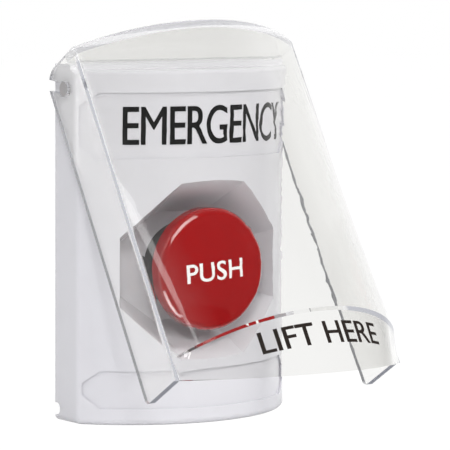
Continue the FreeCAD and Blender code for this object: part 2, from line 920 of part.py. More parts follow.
inner_half = shield_half - shield_wall
inner_rise = shield_rise - shield_wall
cheek_gap = new_sketch(shield, "YZ_Plane", "shield_gap_profile")
top_plate_rear = size("top_plate_rear")
draw_polygon(
    cheek_gap,
    [
        (-shield_corner, -shield_drop - past),
        (shield_rear + past, -shield_drop - past),
        (shield_rear + past, shield_rise + past),
        (-top_plate_rear, shield_rise + past),
        (-top_plate_rear, inner_rise),
        (-shield_corner, inner_rise),
    ],
)
pocket(shield, cheek_gap, "shield_gap_between_cheeks", inner_half * 2, both=True)
doc.recompute()
inner = bow_sections(
    "shield_inner",
    inner_half,
    size("shield_inner_round"),
    inner_rise,
    bulge_top - shield_wall,
    crease_reach - shield_wall,
    foot_reach - shield_wall,
)
shield_hollow = shield.newObject("PartDesign::SubtractiveLoft", "shield_hollow")
shield_hollow.Profile = inner[0]
shield_hollow.Sections = [inner[1], inner[2]]
shield_hollow.Ruled = True
doc.recompute()

# keyholes in the ears: the slot lets each ear snap over its pin
journal_bore = size("journal_diameter") + 2 * size("journal_play")
pivot_profile = new_sketch(shield, "YZ_Plane", "keyhole_bore_profile")
draw_circle(pivot_profile, 0, 0, journal_bore)
pocket(shield, pivot_profile, "keyhole_bore", shield_half * 2 + 2 * past, both=True)
slot_half = size("keyhole_width") / 2
slot_reach = shield_rear * 2
slot_cos = cosine(size("keyhole_angle"))
slot_sin = sine(size("keyhole_angle"))
slot_profile = new_sketch(shield, "YZ_Plane", "keyhole_slot_profile")
draw_polygon(
    slot_profile,
    [
        (slot_half * slot_sin, -slot_half * slot_cos),
        (slot_reach * slot_cos + slot_half * slot_sin, slot_reach * slot_sin - slot_half * slot_cos),
        (slot_reach * slot_cos - slot_half * slot_sin, slot_reach * slot_sin + slot_half * slot_cos),
        (-slot_half * slot_sin, slot_half * slot_cos),
    ],
)
pocket(shield, slot_profile, "keyhole_slot", shield_half * 2 + 2 * past, both=True)
lift = Rotation(Vector(-1, 0, 0), float(size("shield_open_angle")))
shield.Placement = Placement(Vector(0, -float(hinge_setback), float(hinge_height)), lift)
bind(shield, "Placement.Base.y", -hinge_setback)
bind(shield, "Placement.Base.z", hinge_height)
bind(shield, "Placement.Rotation.Angle", size("shield_open_angle"))
doc.recompute()

# push button head: domed, with a hollow underside and a neck that slides in the barrel
cap_radius = size("cap_diameter") / 2
cap_front = size("cap_front")
cap_rim = size("cap_rim")
cap_edge = size("cap_edge_round")
edge_radius = cap_radius - cap_edge
edge_drop = size("cap_dome") + cap_edge
edge_place = cap_front - edge_drop
dome_radius = (edge_drop * edge_drop + edge_radius * edge_radius - cap_edge * cap_edge) / (
    2 * (edge_drop - cap_edge)
)
dome_centre = cap_front - dome_radius
dome_scale = dome_radius / (dome_radius - cap_edge)
meet_place = dome_centre + (edge_place - dome_centre) * dome_scale
meet_radius = edge_radius * dome_scale
web_front = size("web_front")
neck_rear = web_front + size("button_travel") + size("stroke_gap")
barrel_radius = size("barrel_diameter") / 2
barrel_bore = barrel_radius - size("barrel_wall")
neck_radius = barrel_bore - size("neck_play")
neck_bore = neck_radius - size("neck_wall")
skirt_radius = cap_radius - size("cap_skirt")
hollow_roof = cap_rim + size("cap_hollow")
stem_radius = size("stem_diameter") / 2
stem_play = size("stem_play")
spring_roof = hollow_roof + size("spring_room")
stem_front = spring_roof + size("stem_grip")
button_cap = new_body("push_button_cap")
cap_profile = new_sketch(button_cap, "YZ_Plane", "cap_profile")
draw(
    cap_profile,
    (-cap_front, 0),
    [
        (-stem_front, 0),
        (-stem_front, stem_radius),
        (-spring_roof, stem_radius),
        (-spring_roof, neck_bore),
        (-neck_rear, neck_bore),
        (-neck_rear, neck_radius),
        (-hollow_roof, neck_radius),
        (-hollow_roof, skirt_radius),
        (-cap_rim, skirt_radius),
        (-cap_rim, cap_radius),
        (-edge_place, cap_radius),
        ((-meet_place, meet_radius), (-edge_place, edge_radius), cap_edge, "left"),
        ((-cap_front, 0), (-dome_centre, 0), dome_radius, "left"),
    ],
)
revolve(button_cap, cap_profile, "cap_turned")
place(button_cap, z=button_height)

# stem: pressed into the head, slides through the web of the barrel
web_rear = size("web_thickness") - web_front
block_front = size("block_front")
block_wall = size("block_wall")
running_gap = size("running_gap")
stem_rear = block_front + block_wall + size("stem_lead")
groove_front = web_rear + running_gap
groove_rear = groove_front + size("clip_thickness")
groove_radius = size("clip_groove") / 2
stem = new_body("button_stem")
turn(
    stem,
    [
        (-stem_front, 0),
        (stem_rear, 0),
        (stem_rear, stem_radius),
        (groove_rear, stem_radius),
        (groove_rear, groove_radius),
        (groove_front, groove_radius),
        (groove_front, stem_radius),
        (-stem_front, stem_radius),
    ],
    "stem_turned",
)
place(stem, z=button_height)

clip = new_body("stem_retaining_clip")
clip_profile = new_sketch(clip, "XZ_Plane", "clip_outline", z=-groove_rear)
draw_circle(clip_profile, 0, 0, size("clip_diameter"))
pad(clip, clip_profile, "clip_disc", size("clip_thickness"))
clip_slot = new_sketch(clip, "XZ_Plane", "clip_slot_outline", z=-groove_rear)
clip_half = groove_radius + size("thread_play")
draw(
    clip_slot,
    (-clip_half, -size("clip_diameter")),
    [
        (clip_half, -size("clip_diameter")),
        (clip_half, 0),
        ((-clip_half, 0), (0, 0), clip_half, "left"),
        (-clip_half, -size("clip_diameter")),
    ],
)
pocket(clip, clip_slot, "clip_slot", size("clip_thickness") * 2 + past, both=True)
place(clip, z=button_height)


# operator: flanged barrel that clamps the recess floor
def ring(label, front, rear, inner, outer):
    body = new_body(label)
    turn(body, [(front, inner), (rear, inner), (rear, outer), (front, outer)], f"{label}_ring")
    place(body, z=button_height)
    return body


barrel_rear = size("barrel_rear")
rear_bore = barrel_radius - size("rear_wall")
gasket_front = recess_floor + size("gasket_thickness")
flange_front = gasket_front + size("flange_thickness")
flange_radius = barrel_radius + size("flange_width")
bushing = new_body("operator_bushing")
turn(
    bushing,
    [
        (-flange_front, barrel_bore),
        (-web_front, barrel_bore),
        (-web_front, stem_radius + stem_play),
        (web_rear, stem_radius + stem_play),
        (web_rear, rear_bore),
        (barrel_rear, rear_bore),
        (barrel_rear, barrel_radius),
        (-gasket_front, barrel_radius),
        (-gasket_front, flange_radius),
        (-flange_front + size("flange_chamfer"), flange_radius),
        (-flange_front, flange_radius - size("flange_chamfer")),
    ],
    "bushing_turned",
)
place(bushing, z=button_height)
gasket = ring(
    "panel_gasket",
    -gasket_front,
    -recess_floor,
    barrel_radius + size("barrel_play"),
    flange_radius - size("gasket_inset"),
)
washer_rear = cup_floor - size("washer_thickness")
nut_half = barrel_radius + size("nut_wall")
washer = ring(
    "lock_washer",
    -cup_floor,
    -washer_rear,
    barrel_radius + size("barrel_play"),
    nut_half,
)
nut_rear = washer_rear - size("nut_thickness")
nut = new_body("lock_nut")
nut_outline = new_sketch(nut, "XZ_Plane", "nut_outline", z=nut_rear)
nut_reach = nut_half / math.cos(math.radians(30))
draw_polygon(
    nut_outline,
    [
        (-nut_half, -nut_reach / 2),
        (0, -nut_reach),
        (nut_half, -nut_reach / 2),
        (nut_half, nut_reach / 2),
        (0, nut_reach),
        (-nut_half, nut_reach / 2),
    ],
)
pad(nut, nut_outline, "nut_hexagon", size("nut_thickness"))
nut_bore = new_sketch(nut, "XZ_Plane", "nut_bore_outline", z=nut_rear)
draw_circle(nut_bore, 0, 0, size("barrel_diameter") + 2 * size("thread_play"))
pocket(nut, nut_bore, "nut_bore", size("nut_thickness") * 2 + past, both=True)
place(nut, z=button_height)


# coil springs on the button axis, each a wire of short straight runs mitred at its corners
def coil(label, front, rear, diameter, wire, turns):
    runs_in_turn = 12
    wire_sides = 8
    radius = float(diameter) / 2
    runs = int(turns) * runs_in_turn
    first_place = float(front + wire / 2)
    pitch = float(rear - front - wire) / runs
    points = []
    for number in range(runs + 1):
        angle = 2 * math.pi * number / runs_in_turn
        rise = float(button_height) + radius * math.sin(angle)
        points.append(Vector(radius * math.cos(angle), first_place + pitch * number, rise))
    path = tool("Part::Polygon", f"{label}_path", Nodes=points)
    section = tool("Part::RegularPolygon", f"{label}_wire", Polygon=wire_sides)
    section.Circumradius = float(wire) / 2
    bind(section, "Circumradius", wire / 2)
    section.Placement = Placement(points[0], Rotation(Vector(0, 0, 1), points[1] - points[0]))
    doc.recompute()
    sweep = tool("Part::Sweep", label, Sections=[section], Solid=True, Frenet=False)
    sweep.Spine = (path, [f"Edge{number}" for number in range(1, runs + 1)])
    sweep.Transition = "Right corner"
    return sweep


spring_wire = size("spring_wire")
spring_gap = size("spring_gap")
return_spring = coil(
    "return_spring",
    spring_gap - spring_roof,
    -web_front - spring_gap,
    2 * (neck_bore - size("spring_play")) - spring_wire,
    spring_wire,
    sizes["spring_turns"],
)

# contact block behind the wall plane, held on the barrel by a collar
collar_front = block_front - size("collar_thickness")
collar = new_body("mounting_collar")
collar_outline = new_sketch(collar, "XZ_Plane", "collar_outline", z=-block_front)
block_screw_offset = barrel_radius + size("block_screw_gap")
collar_half = barrel_radius + size("collar_side")
collar_high = block_screw_offset + size("collar_end")
draw_box(collar_outline, -collar_half, collar_half, -collar_high, collar_high)
pad(collar, collar_outline, "collar_plate", size("collar_thickness"))
collar_holes = new_sketch(collar, "XZ_Plane", "collar_hole_outline", z=-block_front)
draw_circle(collar_holes, 0, 0, size("barrel_diameter") + 2 * size("thread_play"))
for side in (-1, 1):
    draw_circle(collar_holes, 0, side * block_screw_offset, screw_diameter + 2 * screw_play)
pocket(collar, collar_holes, "collar_holes", size("collar_thickness") * 2 + past, both=True)
place(collar, z=button_height)

contact_offset = size("contact_offset")
strip_half = size("strip_width") / 2
strip_thickness = size("strip_thickness")
pip_height = size("pip_height")
contact_gap = size("contact_gap")
bridge_thickness = size("bridge_thickness")
travel = size("button_travel")
closed_strip = block_front + size("closed_strip_depth")
closed_bridge = closed_strip + strip_thickness + pip_height + contact_gap
open_bridge = closed_bridge + size("bridge_pitch")
open_strip = open_bridge + bridge_thickness + travel + contact_gap + pip_height
block_half = size("block_width") / 2
block_high = collar_high
block_rear = block_front + size("block_length")
inside_front = block_front + block_wall
terminal_offset = size("terminal_offset")
pillar_low = terminal_offset - size("terminal_head") / 2
terminal_hole = size("terminal_hole")
terminal_length = size("terminal_length")

block_body = new_body("contact_block_body")
block_outline = new_sketch(block_body, "XZ_Plane", "contact_block_outline", z=-block_rear)
draw_box(block_outline, -block_half, block_half, -block_high, block_high)
pad(block_body, block_outline, "contact_block_box", size("block_length"))
room = new_sketch(block_body, "XZ_Plane", "contact_block_room_outline", z=-block_rear)
draw_box(
    room,
    block_wall - block_half,
    block_half - block_wall,
    block_wall - block_high,
    block_high - block_wall,
)
pocket(block_body, room, "contact_block_room", block_rear - inside_front, back=True)
for name, x_side, top in (("closed", -1, closed_strip), ("open", 1, open_strip)):
    pillars = new_sketch(block_body, "XZ_Plane", f"{name}_pillar_outline", z=-top)
    for side in (-1, 1):
        inner_z = side * pillar_low
        outer_z = side * (block_high - block_wall / 2)
        low_z, high_z = (outer_z, inner_z) if side < 0 else (inner_z, outer_z)
        middle = x_side * contact_offset
        draw_box(pillars, middle - strip_half, middle + strip_half, low_z, high_z)
    pad(block_body, pillars, f"{name}_pillars", top - inside_front + sunk)
carrier_half = size("carrier_width") / 2
carrier_high = size("carrier_height") / 2
guides = new_sketch(block_body, "XZ_Plane", "guide_outline", z=-block_rear + size("guide_end"))
for side in (-1, 1):
    inner_x = side * (carrier_half + size("guide_play"))
    outer_x = side * (block_half - block_wall / 2)
    low_x, high_x = (outer_x, inner_x) if side < 0 else (inner_x, outer_x)
    draw_box(guides, low_x, high_x, -carrier_high / 2, carrier_high / 2)
guide_length = block_rear - size("guide_end") - inside_front + sunk
pad(block_body, guides, "carrier_guides", guide_length)
stem_hole = new_sketch(block_body, "XZ_Plane", "stem_hole_outline", z=-block_front)
draw_circle(stem_hole, 0, 0, size("clip_diameter") + 2 * size("clip_room"))
pocket(block_body, stem_hole, "stem_hole", block_wall + past, back=False)
for name, x_side, top in (("closed", -1, closed_strip), ("open", 1, open_strip)):
    bores = new_sketch(block_body, "XZ_Plane", f"{name}_screw_bore_outline", z=-top)
    for side in (-1, 1):
        draw_circle(bores, x_side * contact_offset, side * terminal_offset, terminal_hole)
    bore_depth = terminal_length - strip_thickness + screw_play
    pocket(block_body, bores, f"{name}_screw_bores", bore_depth, back=True)
    entries = new_sketch(block_body, "XY_Plane", f"{name}_wire_entry_outline")
    entry_place = top + strip_thickness + size("wire_entry_offset")
    draw_circle(entries, x_side * contact_offset, entry_place, size("wire_entry"))
    pocket(block_body, entries, f"{name}_wire_entries", block_high * 2 + past, both=True)
block_bores = new_sketch(block_body, "XZ_Plane", "collar_screw_bore_outline", z=-block_front)
for side in (-1, 1):
    draw_circle(block_bores, 0, side * block_screw_offset, screw_diameter + 2 * size("thread_play"))
pocket(block_body, block_bores, "collar_screw_bores", block_wall + past, back=False)
place(block_body, z=button_height)

cover = new_body("contact_block_cover")
cover_outline = new_sketch(
    cover, "XZ_Plane", "cover_outline", z=-block_rear - size("cover_thickness")
)
draw_box(cover_outline, -block_half, block_half, -block_high, block_high)
pad(cover, cover_outline, "cover_sheet", size("cover_thickness"))
spring_stub = new_sketch(cover, "XZ_Plane", "spring_stub_outline", z=-block_rear)
spring_bore = size("contact_spring_diameter") - size("contact_spring_wire")
stub_diameter = spring_bore - 2 * size("stub_play")
draw_circle(spring_stub, 0, 0, stub_diameter)
pad(cover, spring_stub, "spring_stub", size("stub_length"))
cover_holes = new_sketch(
    cover, "XZ_Plane", "cover_hole_outline", z=-block_rear - size("cover_thickness")
)
for x_side in (-1, 1):
    for side in (-1, 1):
        draw_circle(
            cover_holes, x_side * contact_offset, side * terminal_offset, size("driver_hole")
        )
pocket(cover, cover_holes, "cover_driver_holes", size("cover_thickness") * 2 + past, both=True)
place(cover, z=button_height)

# sliding carrier with its two bridges
bridge_half = strip_half - size("bridge_inset")
window_half_width = bridge_half + size("guide_play")
carrier_front = stem_rear + running_gap
carrier_rear = open_bridge + bridge_thickness + size("carrier_tail")
carrier = new_body("contact_carrier")
carrier_outline = new_sketch(carrier, "XZ_Plane", "carrier_outline", z=-carrier_rear)
draw_box(carrier_outline, -carrier_half, carrier_half, -carrier_high, carrier_high)
pad(carrier, carrier_outline, "carrier_block", carrier_rear - carrier_front)
carrier_stub = new_sketch(
    carrier, "XZ_Plane", "carrier_stub_outline", z=-carrier_rear - size("stub_length")
)
draw_circle(carrier_stub, 0, 0, stub_diameter)
pad(carrier, carrier_stub, "carrier_stub", size("stub_length"))
windows = new_sketch(carrier, "XY_Plane", "carrier_window_outline")
draw_box(
    windows,
    -contact_offset - window_half_width,
    window_half_width - contact_offset,
    closed_bridge,
    closed_bridge + bridge_thickness + size("bridge_float"),
)
draw_box(
    windows,
    contact_offset - window_half_width,
    contact_offset + window_half_width,
    open_bridge - size("bridge_float"),
    open_bridge + bridge_thickness,
)
pocket(carrier, windows, "carrier_windows", carrier_high * 2 + past, both=True)
place(carrier, z=button_height)


def bar(label, x, front, rear, half, low, high):
    body = new_body(label)
    outline = new_sketch(body, "XZ_Plane", f"{label}_outline", z=-rear)
    draw_box(outline, x - half, x + half, low, high)
    pad(body, outline, f"{label}_bar", rear - front)
    place(body, z=button_height)
    return body


bridge_reach = size("bridge_length") / 2
closed_bar = bar(
    "closed_contact_bridge",
    -contact_offset,
    closed_bridge,
    closed_bridge + bridge_thickness,
    bridge_half,
    -bridge_reach,
    bridge_reach,
)
open_bar = bar(
    "open_contact_bridge",
    contact_offset,
    open_bridge,
    open_bridge + bridge_thickness,
    bridge_half,
    -bridge_reach,
    bridge_reach,
)


# fixed strips with their contact pips, one pair for each circuit
def strip(label, x, front, side, pip_rear):
    body = new_body(label)
    outline = new_sketch(body, "XZ_Plane", f"{label}_outline", z=-front - strip_thickness)
    inner_z = side * (bridge_reach - size("strip_overlap"))
    outer_z = side * (block_high - block_wall - size("guide_play"))
    low_z, high_z = (outer_z, inner_z) if side < 0 else (inner_z, outer_z)
    draw_box(outline, x - strip_half, x + strip_half, low_z, high_z)
    pad(body, outline, f"{label}_strip", strip_thickness)
    pip_place = front + strip_thickness if pip_rear else front
    pip = new_sketch(body, "XZ_Plane", f"{label}_pip_outline", z=-pip_place)
    pip_middle = side * (bridge_reach - size("pip_diameter") / 2 - size("pip_inset"))
    draw_circle(pip, x, pip_middle, size("pip_diameter"))
    pad(body, pip, f"{label}_pip", pip_height, back=pip_rear)
    hole = new_sketch(body, "XZ_Plane", f"{label}_hole_outline", z=-front - strip_thickness)
    draw_circle(hole, x, side * terminal_offset, terminal_hole + screw_play)
    pocket(body, hole, f"{label}_hole", strip_thickness * 2 + past, both=True)
    place(body, z=button_height)
    return body


closed_pair = [
    strip(f"closed_strip_{name}", -contact_offset, closed_strip, side, True)
    for name, side in (("low", -1), ("high", 1))
]
open_pair = [
    strip(f"open_strip_{name}", contact_offset, open_strip, side, False)
    for name, side in (("low", -1), ("high", 1))
]
closed_terminals = tool("Part::Compound", "closed_contact_terminals", Links=closed_pair)
open_terminals = tool("Part::Compound", "open_contact_terminals", Links=open_pair)


# slotted screws that point forward (terminals) or rearward (collar)
slot_width = size("screw_slot")


def lying_screw(label, x, z, seat, length, diameter, head, height, rearward):
    body = new_body(label)
    sense = 1 if rearward else -1
    turn(
        body,
        [
            (-sense * height, 0),
            (sense * length, 0),
            (sense * length, diameter / 2),
            (0, diameter / 2),
            (0, head / 2),
            (-sense * height, head / 2),
        ],
        f"{label}_turned",
    )
    drive = new_sketch(body, "XZ_Plane", f"{label}_drive", z=sense * height)
    draw_box(drive, -head / 2, head / 2, -slot_width / 2, slot_width / 2)
    pocket(body, drive, f"{label}_slot", height / 2, back=not rearward)
    place(body, x, seat, button_height + z)
    return body


terminal_set = []
for name, x_side, top in (("closed", -1, closed_strip), ("open", 1, open_strip)):
    for place_name, side in (("low", -1), ("high", 1)):
        terminal_set.append(
            lying_screw(
                f"terminal_screw_{name}_{place_name}",
                x_side * contact_offset,
                side * terminal_offset,
                top + strip_thickness,
                terminal_length,
                terminal_hole - 2 * size("thread_play"),
                size("terminal_head"),
                size("terminal_head_height"),
                False,
            )
        )
terminal_screws = tool("Part::Compound", "terminal_screws", Links=terminal_set)
collar_set = [
    lying_screw(
        f"collar_screw_{name}",
        0,
        side * block_screw_offset,
        collar_front,
        size("collar_thickness") + size("collar_screw_grip"),
        screw_diameter,
        head_diameter,
        head_height,
        True,
    )
    for name, side in (("low", -1), ("high", 1))
]
collar_screws = tool("Part::Compound", "collar_screws", Links=collar_set)
contact_spring = coil(
    "contact_spring",
    carrier_rear + running_gap,
    block_rear - running_gap,
    size("contact_spring_diameter"),
    size("contact_spring_wire"),
    sizes["contact_spring_turns"],
)
doc.recompute()

pieces = {
    "front_housing": front_housing,
    "back_plate": back_plate,
    "housing_screws": housing_screws,
    "left_hinge_pin": pins[0],
    "right_hinge_pin": pins[1],
    "clear_shield": shield,
    "push_button_cap": button_cap,
    "button_stem": stem,
    "stem_retaining_clip": clip,
    "return_spring": return_spring,
    "operator_bushing": bushing,
    "panel_gasket": gasket,
    "lock_washer": washer,
    "lock_nut": nut,
    "mounting_collar": collar,
    "collar_screws": collar_screws,
    "contact_block_body": block_body,
    "contact_block_cover": cover,
    "contact_carrier": carrier,
    "closed_contact_bridge": closed_bar,
    "open_contact_bridge": open_bar,
    "closed_contact_terminals": closed_terminals,
    "open_contact_terminals": open_terminals,
    "terminal_screws": terminal_screws,
    "contact_spring": contact_spring,
}

problems = []
for item in doc.Objects:
    if "Invalid" in item.State or "Error" in item.State:
        problems.append(f"{item.Name} failed: {item.State}")
for node, item in pieces.items():
    if item.Label != node:
        problems.append(f"{node} is labelled {item.Label}")
    if item.Shape.isNull() or not item.Shape.isValid() or not item.Shape.Solids:
        problems.append(f"{node} has no sound solid")
if problems:
    raise RuntimeError("; ".join(problems))

os.makedirs("parts", exist_ok=True)
for node, item in pieces.items():
    item.Shape.exportStep(f"parts/{node}.step")
    box = item.Shape.BoundBox
    print(
        f"{node}: {len(item.Shape.Solids)} solids, {item.Shape.Volume:.0f} mm3,"
        f" y {box.YMin:.2f} to {box.YMax:.2f}, z {box.ZMin:.2f} to {box.ZMax:.2f}"
    )
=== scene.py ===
import math

import bmesh
import bpy
from mathutils import Matrix, Quaternion, Vector
from mathutils.bvhtree import BVHTree


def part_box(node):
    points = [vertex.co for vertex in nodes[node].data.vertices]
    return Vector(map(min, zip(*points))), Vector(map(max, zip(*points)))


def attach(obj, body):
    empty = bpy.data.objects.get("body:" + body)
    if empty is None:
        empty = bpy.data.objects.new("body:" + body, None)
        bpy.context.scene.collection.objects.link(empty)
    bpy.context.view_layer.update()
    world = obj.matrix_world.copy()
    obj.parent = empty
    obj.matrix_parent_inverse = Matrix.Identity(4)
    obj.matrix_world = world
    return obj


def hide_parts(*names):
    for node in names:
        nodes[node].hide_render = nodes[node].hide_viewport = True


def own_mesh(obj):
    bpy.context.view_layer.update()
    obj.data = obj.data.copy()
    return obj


# lengths are in metres and angles in degrees
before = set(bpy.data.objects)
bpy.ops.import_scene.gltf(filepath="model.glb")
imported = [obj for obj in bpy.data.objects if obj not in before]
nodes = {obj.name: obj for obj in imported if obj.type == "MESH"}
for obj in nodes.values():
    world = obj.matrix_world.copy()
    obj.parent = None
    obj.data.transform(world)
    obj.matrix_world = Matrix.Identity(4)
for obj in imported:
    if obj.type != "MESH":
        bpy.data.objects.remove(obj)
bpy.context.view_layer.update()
print("frame loaded,", len(nodes), "nodes")


# a socket that takes part in sums: each operation adds one Math node
class Sum:
    def __init__(self, shader, socket):
        self.shader = shader
        self.socket = socket

    def math(self, operation, other, swapped=False):
        first, second = (other, self) if swapped else (self, other)
        return self.shader.node("ShaderNodeMath", {"operation": operation}, {0: first, 1: second})

    def __add__(self, other):
        return self.math("ADD", other)

    def __radd__(self, other):
        return self.math("ADD", other, True)

    def __sub__(self, other):
        return self.math("SUBTRACT", other)

    def __rsub__(self, other):
        return self.math("SUBTRACT", other, True)

    def __mul__(self, other):
        return self.math("MULTIPLY", other)

    def __rmul__(self, other):
        return self.math("MULTIPLY", other, True)

    def max(self, other):
        return self.math("MAXIMUM", other)

    def more(self, other):
        return self.math("GREATER_THAN", other)


# the node tree of a material or of the world
class Shader:
    def __init__(self, owner, closing="ShaderNodeOutputMaterial"):
        self.owner = owner
        owner.use_nodes = True
        self.tree = owner.node_tree
        self.tree.nodes.clear()
        self.output = self.tree.nodes.new(closing)

    def node(self, kind, settings=None, values=None, out=0):
        item = self.tree.nodes.new(kind)
        for key, value in (settings or {}).items():
            setattr(item, key, value)
        for key, value in (values or {}).items():
            if isinstance(value, Sum):
                self.tree.links.new(value.socket, item.inputs[key])
            else:
                item.inputs[key].default_value = value
        return Sum(self, item.outputs[out])

    def place(self, kind="Object"):
        return self.node("ShaderNodeTexCoord", out=kind)

    def ray(self, kind):
        return self.node("ShaderNodeLightPath", out=kind)

    def noise(self, scale, detail, where=None):
        return self.node("ShaderNodeTexNoise", None,
                         {"Vector": where or self.place(), "Scale": scale, "Detail": detail})

    def bump(self, height, strength, distance):
        return self.node("ShaderNodeBump", None,
                         {"Height": height, "Strength": strength, "Distance": distance})

    # a Mix node's colours are its sockets 6 and 7, and their mixture is its output 2
    def mix(self, factor, first, second):
        return self.node("ShaderNodeMix", {"data_type": "RGBA"}, {0: factor, 6: first, 7: second}, 2)

    def blend(self, factor, first, second):
        return self.node("ShaderNodeMixShader", None, {0: factor, 1: first, 2: second})

    def principled(self, values):
        return self.node("ShaderNodeBsdfPrincipled", None, values)

    def finish(self, surface):
        self.tree.links.new(surface.socket, self.output.inputs["Surface"])
        return self.owner


def rgb(red, green, blue):
    return (red, green, blue, 1.0)


# moulded plastic: nearly even colour, a faint orange-peel surface and uneven gloss
moulding = {"cloud": (60, 3), "grain": (900, 2), "glossSpread": 0.35, "peelDepth": 0.0004,
            "ior": 1.5, "coatRoughness": 0.05}
plasticLooks = {
    "white moulded plastic": {
        "colour": rgb(0.70, 0.695, 0.73), "darker": rgb(0.665, 0.66, 0.70),
        "roughness": 0.17, "peel": 0.02, "coat": 0.0},
    "red moulded plastic": {
        "colour": rgb(0.34, 0.004, 0.005), "darker": rgb(0.31, 0.003, 0.004),
        "roughness": 0.07, "peel": 0.003, "coat": 0.5},
    "black plastic": {
        "colour": rgb(0.035, 0.033, 0.032), "darker": rgb(0.03, 0.03, 0.03),
        "roughness": 0.45, "peel": 0.05, "coat": 0.0},
    "dark grey plastic": {
        "colour": rgb(0.13, 0.13, 0.14), "darker": rgb(0.11, 0.11, 0.12),
        "roughness": 0.5, "peel": 0.06, "coat": 0.0},
    "pin plastic": {
        "colour": rgb(0.36, 0.34, 0.35), "darker": rgb(0.32, 0.31, 0.31),
        "roughness": 0.35, "peel": 0.02, "coat": 0.0},
    "gasket rubber": {
        "colour": rgb(0.025, 0.025, 0.025), "darker": rgb(0.02, 0.02, 0.02),
        "roughness": 0.7, "peel": 0.1, "coat": 0.0},
}


def mouldedPlastic(name, look):
    s = Shader(bpy.data.materials.new(name))
    cloud = s.noise(*moulding["cloud"])
    grain = s.noise(*moulding["grain"])
    spread = look["roughness"] * moulding["glossSpread"]
    return s.finish(s.principled({
        "Base Color": s.mix(cloud, look["colour"], look["darker"]),
        "Roughness": look["roughness"] + (cloud - 0.5) * spread,
        "IOR": moulding["ior"], "Coat Weight": look["coat"],
        "Coat Roughness": moulding["coatRoughness"],
        "Normal": s.bump(grain, look["peel"], moulding["peelDepth"])}))


# metals have drawn streaks
drawing = {"stretch": (0.15, 1.0, 1.0), "detail": 3.0, "glossSpread": 0.15,
           "bump": 0.05, "depth": 0.0003}
metalLooks = {
    "zinc plated sheet": {
        "colour": rgb(0.66, 0.66, 0.64), "darker": rgb(0.55, 0.56, 0.55),
        "roughness": 0.42, "streaks": 260},
    "bright steel": {
        "colour": rgb(0.64, 0.64, 0.64), "darker": rgb(0.56, 0.56, 0.57),
        "roughness": 0.3, "streaks": 400},
    "contact brass": {
        "colour": rgb(0.75, 0.56, 0.27), "darker": rgb(0.66, 0.48, 0.22),
        "roughness": 0.32, "streaks": 400},
}


def metalSkin(name, look):
    s = Shader(bpy.data.materials.new(name))
    stretched = s.node("ShaderNodeMapping", None, {"Vector": s.place(), "Scale": drawing["stretch"]})
    streaks = s.noise(look["streaks"], drawing["detail"], stretched)
    return s.finish(s.principled({
        "Base Color": s.mix(streaks, look["colour"], look["darker"]), "Metallic": 1.0,
        "Roughness": look["roughness"] + (streaks - 0.5) * drawing["glossSpread"],
        "Normal": s.bump(streaks, drawing["bump"], drawing["depth"])}))


# clear shield: light passes its walls on the way to what is behind them, and a ray that has
# turned many times inside a wall ends in a pale glow instead of black
shieldLook = {
    "tint": rgb(0.915, 0.913, 0.898), "shadowTint": rgb(0.995, 0.995, 0.99),
    "trapped": rgb(0.60, 0.61, 0.66), "turns": 6.5, "bounces": 3.5, "ior": 1.42,
    "roughness": 0.012, "glossSpread": 0.01, "cloud": (35, 2), "ripple": 0.002, "depth": 0.002,
}


def clearPlastic(name, look):
    s = Shader(bpy.data.materials.new(name))
    cloud = s.noise(*look["cloud"])
    body = s.principled({
        "Base Color": look["tint"], "Transmission Weight": 1.0, "IOR": look["ior"],
        "Roughness": look["roughness"] + (cloud - 0.5) * look["glossSpread"],
        "Normal": s.bump(cloud, look["ripple"], look["depth"])})
    through = s.node("ShaderNodeBsdfTransparent", None, {"Color": look["shadowTint"]})
    shadow = s.ray("Is Shadow Ray")
    clear = s.blend(shadow.max(s.ray("Is Diffuse Ray")), body, through)
    glow = s.node("ShaderNodeEmission", None, {"Color": look["trapped"], "Strength": 1.0})
    turned = s.ray("Ray Depth").more(look["turns"])
    late = turned.max(s.ray("Glossy Depth").more(look["bounces"])) * (1.0 - shadow)
    return s.finish(s.blend(late, clear, glow))


# the shield's rims are satin, with painted light and shade in their colours: plain and pale at the top
# plate as a painted light edge, dark at the side panels as painted shade
satin = {"cloud": (300, 2), "glossSpread": 0.1}
rimPaintedLightAndShade = {
    "satin plate rim painted light": {"colour": rgb(0.86, 0.86, 0.88), "clear": 0.55, "roughness": 0.45},
    "satin panel rim painted shade": {"colour": rgb(0.34, 0.35, 0.39), "clear": 0.70, "roughness": 0.30},
}


def satinPlastic(name, look):
    s = Shader(bpy.data.materials.new(name))
    cloud = s.noise(*satin["cloud"])
    return s.finish(s.principled({
        "Base Color": look["colour"], "Transmission Weight": look["clear"], "IOR": shieldLook["ior"],
        "Roughness": look["roughness"] + (cloud - 0.5) * satin["glossSpread"]}))


# print, a little paler where it is worn
wearing = {"wear": (700, 3), "paler": 1.25, "lift": 0.01, "glossSpread": 0.1}
inkLooks = {
    "black print": {"colour": rgb(0.004, 0.004, 0.004), "roughness": 0.35},
    "dark print": {"colour": rgb(0.02, 0.013, 0.010), "roughness": 0.4},
    "white print": {"colour": rgb(0.86, 0.86, 0.85), "roughness": 0.3},
}


def inkSkin(name, look):
    s = Shader(bpy.data.materials.new(name))
    wear = s.noise(*wearing["wear"])
    worn = rgb(*[min(1.0, part * wearing["paler"] + wearing["lift"]) for part in look["colour"][:3]])
    return s.finish(s.principled({
        "Base Color": s.mix(wear, look["colour"], worn),
        "Roughness": look["roughness"] + (wear - 0.5) * wearing["glossSpread"]}))


materials = {"clear plastic": clearPlastic("clear plastic", shieldLook)}
for looks, make in ((plasticLooks, mouldedPlastic), (metalLooks, metalSkin),
                    (rimPaintedLightAndShade, satinPlastic), (inkLooks, inkSkin)):
    for name, look in looks.items():
        materials[name] = make(name, look)

